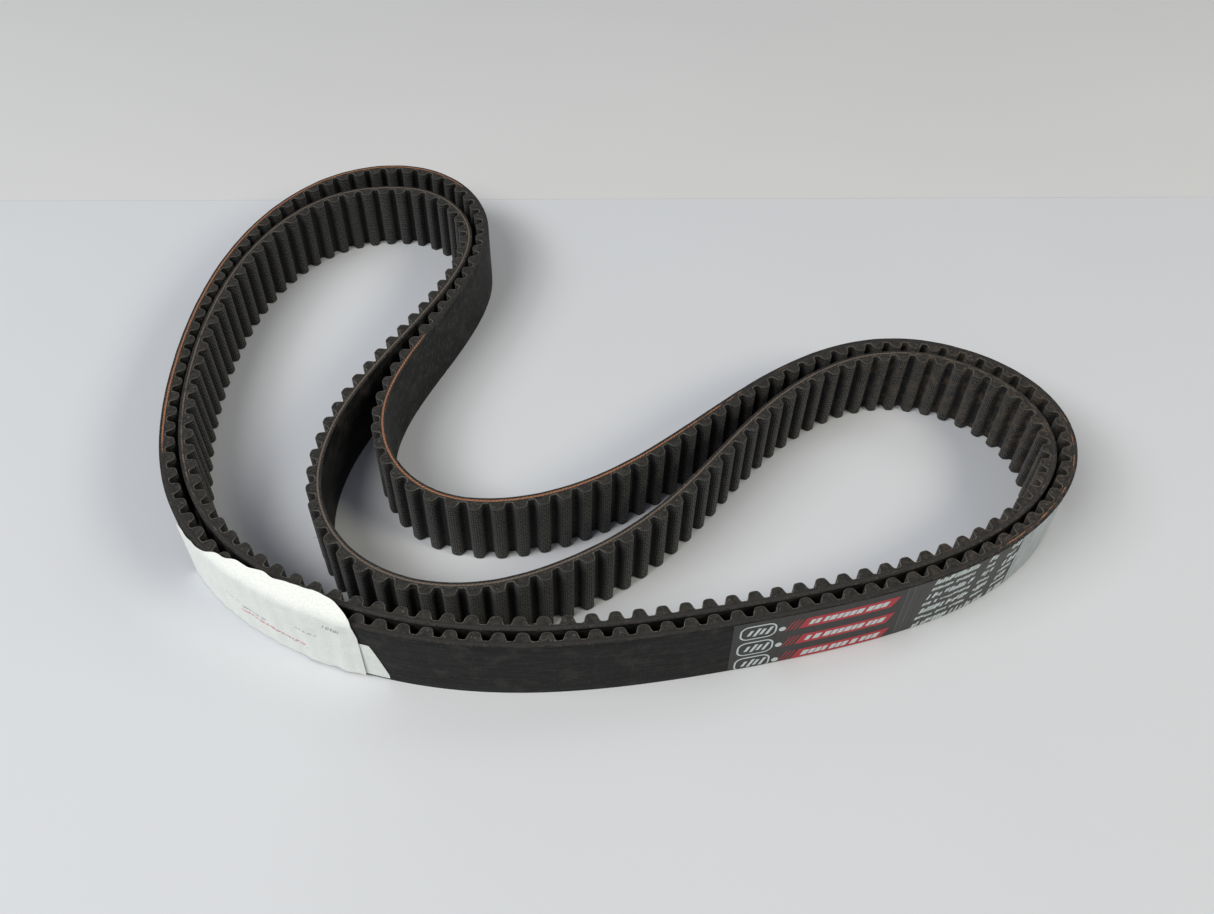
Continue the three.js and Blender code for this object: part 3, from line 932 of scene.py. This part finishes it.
def makeLabel():
    columns = np.concatenate([np.linspace(0, 0.94, 95), np.linspace(0.94, 1, 17)[1:]]) * labelLength
    share = columns / labelLength
    wavy = 0.5 * np.sin(columns * 0.62) * (1 - share)
    top = curveOf(label["tall"], share) + wavy
    top = np.where(share > 0.97, top - 7 * ((share - 0.97) / 0.03) ** 2, top)
    foot = curveOf(label["foot"], share)
    ups = [foot + (top - foot) * row for row in np.linspace(0, 1, 25)]
    front = [labelSurface(columns, up, label["thickness"]) for up in ups]
    back = [labelSurface(columns, up, 0.0) for up in ups]
    store = newStore()
    addShell(store, front + back[::-1], [(columns, up) for up in ups + ups[::-1]])
    sheet = finishStore("labelSheet", store, paperLook)
    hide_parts("label_sheet")

    # the second layer, whose corner shows past the first
    def underSurface(right, up, lift):
        place = label["underFrom"] - right / section["pitch"]
        return spots(outerRoute, place, section["back"] - 0.1 - lift, up)

    store = newStore()
    length = (label["underFrom"] - label["underTo"]) * section["pitch"]
    right = np.concatenate([straight(0, length - 5.5), np.linspace(length - 5.5, length, 12)[1:]])
    past = np.clip((right - (length - 5.0)) / 5.0, 0, 1)
    high = label["underTop"] - 17.0 * past ** 1.15
    addSlab(store, underSurface, right, 1.4, np.maximum(high, 2.2), 0.05, 0.12)
    under = finishStore("labelUnderSheet", store, paperLook)
    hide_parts("label_under_sheet")

    # faint pencilled strokes and one red line, none of them readable
    stores = {"grey": newStore(), "red": newStore()}
    source = random.Random(9)
    for tone, start, end, first, last, tall, gap in label["strokes"]:
        at = start
        while at < end:
            size = source.uniform(0.5, 2.4) if tall < 1.5 else source.uniform(0.3, 0.7)
            drift = first + (last - first) * (at - start) / (end - start) + source.uniform(-0.2, 0.2)
            dash = straight(at, at + size, 0.6)
            low, high = drift - tall / 2, drift + tall / 2
            addSlab(stores[tone], labelSurface, dash, low, high, label["thickness"], 0.03, lean=0.3)
            at += size + gap * source.uniform(0.6, 1.8)
    for name, tone, look in (("labelPencil", "grey", "greyPencil"), ("labelRedLine", "red", "redPencil")):
        finishStore(name, stores[tone], inks[look])


makeLabel()
print("label ready")


# loose fibres of the facing caught on the cut edges: thin, pale grey, a few millimetres long
lint = {
    "radius": 0.045, "stride": 0.45, "strides": 7,
    "depth": 4.1,  # near the tips of the teeth
    "innerPlaces": [38.4, 44.2, 50.6, 57.3, 61.8, 12.5, 92.1],
    "outerPlaces": [20.3, 57.2, 66.4, 101.2],
}


def makeLint(name, route, places, body, seed):
    source = np.random.RandomState(seed)
    store = newStore()
    for place in places:
        heading = source.rand() * 6.28
        path = [spots(route, [place], lint["depth"], section["width"] + 0.05)[0] * 1000]
        for step in range(lint["strides"]):
            heading += source.uniform(-0.7, 0.7)
            flat = lint["stride"] * np.array([math.cos(heading), math.sin(heading)])
            path.append(path[-1] + np.append(flat, source.uniform(-0.05, 0.16)))
        base = len(store["vertices"])
        for spot in path:
            for corner in range(3):
                turn = corner * 2.094
                store["vertices"].append(((spot + lint["radius"] * np.array([
                    math.cos(turn), math.sin(turn) * 0.6, math.sin(turn),
                ])) * 0.001).tolist())
        for step in range(len(path) - 1):
            for corner in range(3):
                following = (corner + 1) % 3
                store["faces"].append((
                    base + step * 3 + corner, base + step * 3 + following,
                    base + step * 3 + 3 + following, base + step * 3 + 3 + corner,
                ))
                store["marks"] += [
                    (step, corner), (step, corner + 1), (step + 1, corner + 1), (step + 1, corner),
                ]
        for end in (0, len(path) - 1):
            store["faces"].append(tuple(base + end * 3 + corner for corner in range(3)))
            store["marks"] += [(end, 0), (end, 1), (end, 2)]
    finishStore(name, store, frayLook, body)


makeLint("outerLint", outerRoute, lint["outerPlaces"], "outer_belt", 31)
makeLint("innerLint", innerRoute, lint["innerPlaces"], "inner_belt", 32)
print("lint ready")


stage = {
    "table": "#cfd2d6", "board": "#d2d3d3",
    "joint": 0.1512, "turn": 3.46,  # metres, degrees: where the far board starts, and how it is turned
    "size": 3.0,
}


# painted board, matt: pale, with the faintest unevenness of a rolled coat
def makeBoard(name, tone):
    material, tree, shader = startMaterial(name, IOR=1.45, Roughness=0.75)
    place = addNode(tree, "ShaderNodeTexCoord").outputs["Object"]
    cloud = addNode(tree, "ShaderNodeTexNoise", {"Vector": place, "Scale": 6, "Detail": 4})
    share = addNode(tree, "ShaderNodeMapRange", {"Value": cloud.outputs[0], "To Min": 0.97, "To Max": 1.03})
    finished = addNode(tree, "ShaderNodeVectorMath", {
        0: colour(tone)[:3], "Scale": share.outputs[0],
    }, operation="SCALE")
    tree.links.new(finished.outputs[0], shader.inputs["Base Color"])
    return material


def makeStage():
    half, turn = stage["size"], math.radians(stage["turn"])
    cosine, sine = math.cos(turn), math.sin(turn)
    for name, low, high, tone in (
        ("tableTop", -half, 0.0, stage["table"]), ("farBoard", 0.0001, half, stage["board"]),
    ):
        corners = [(-half, low), (half, low), (half, high), (-half, high)]
        mesh = bpy.data.meshes.new(name)
        mesh.from_pydata([
            (x * cosine - y * sine, stage["joint"] + x * sine + y * cosine, 0) for x, y in corners
        ], [], [(0, 1, 2, 3)])
        mesh.materials.append(makeBoard(name + "PaintedBoard", tone))
        board = bpy.data.objects.new(name, mesh)
        board.location.z = -0.00005
        bpy.context.scene.collection.objects.link(board)


lights = {
    "world": ("#e4e8f6", 0.27),
    "lamps": {
        "key": {"at": (-0.723, -0.607, 1.166), "size": 0.8, "power": 11, "tone": "#fffdf8"},
        "side": {"at": (-1.077, -0.288, 1.004), "size": 0.5, "power": 5.5, "tone": "#fbfcff"},
        "right": {"at": (1.041, -0.486, 0.964), "size": 0.5, "power": 7.5, "tone": "#fff8e2"},
        "rear": {"at": (0.995, 0.575, 0.964), "size": 0.5, "power": 2.4, "tone": "#ffffff"},
    },
}


def makeLights():
    world = bpy.data.worlds.new("studio")
    bpy.context.scene.world = world
    world.use_nodes = True
    background = world.node_tree.nodes["Background"]
    background.inputs[0].default_value = colour(lights["world"][0])
    background.inputs[1].default_value = lights["world"][1]
    for name, values in lights["lamps"].items():
        lamp = bpy.data.lights.new(name + "Light", "AREA")
        lamp.shape = "DISK"
        lamp.size = values["size"]
        lamp.energy = values["power"]
        lamp.color = colour(values["tone"])[:3]
        holder = bpy.data.objects.new(name + "Light", lamp)
        at = np.array(values["at"])
        holder.location = at
        away = at / np.linalg.norm(at)
        side = np.cross((0, 0, 1), away)
        side /= np.linalg.norm(side)
        turn = Matrix((side, np.cross(away, side), away)).transposed()
        holder.rotation_euler = turn.to_euler()
        bpy.context.scene.collection.objects.link(holder)


camera = {
    "at": (-0.0004, -0.3159, 0.3413), "down": 49.32, "turn": 0.35, "roll": 1.7, "lens": 32.76, "sensor": 36.0,
}


def makeCamera():
    data = bpy.data.cameras.new("camera")
    data.lens = camera["lens"]
    data.sensor_width = camera["sensor"]
    data.clip_start = 0.01
    holder = bpy.data.objects.new("camera", data)
    bpy.context.scene.collection.objects.link(holder)
    holder.matrix_world = (
        Matrix.Translation(camera["at"])
        @ Matrix.Rotation(math.radians(camera["turn"]), 4, "Z")
        @ Matrix.Rotation(math.radians(90 - camera["down"]), 4, "X")
        @ Matrix.Rotation(math.radians(camera["roll"]), 4, "Z")
    )
    bpy.context.scene.camera = holder


makeStage()
makeLights()
makeCamera()
bpy.context.scene.view_settings.view_transform = "Standard"
print("stage ready")
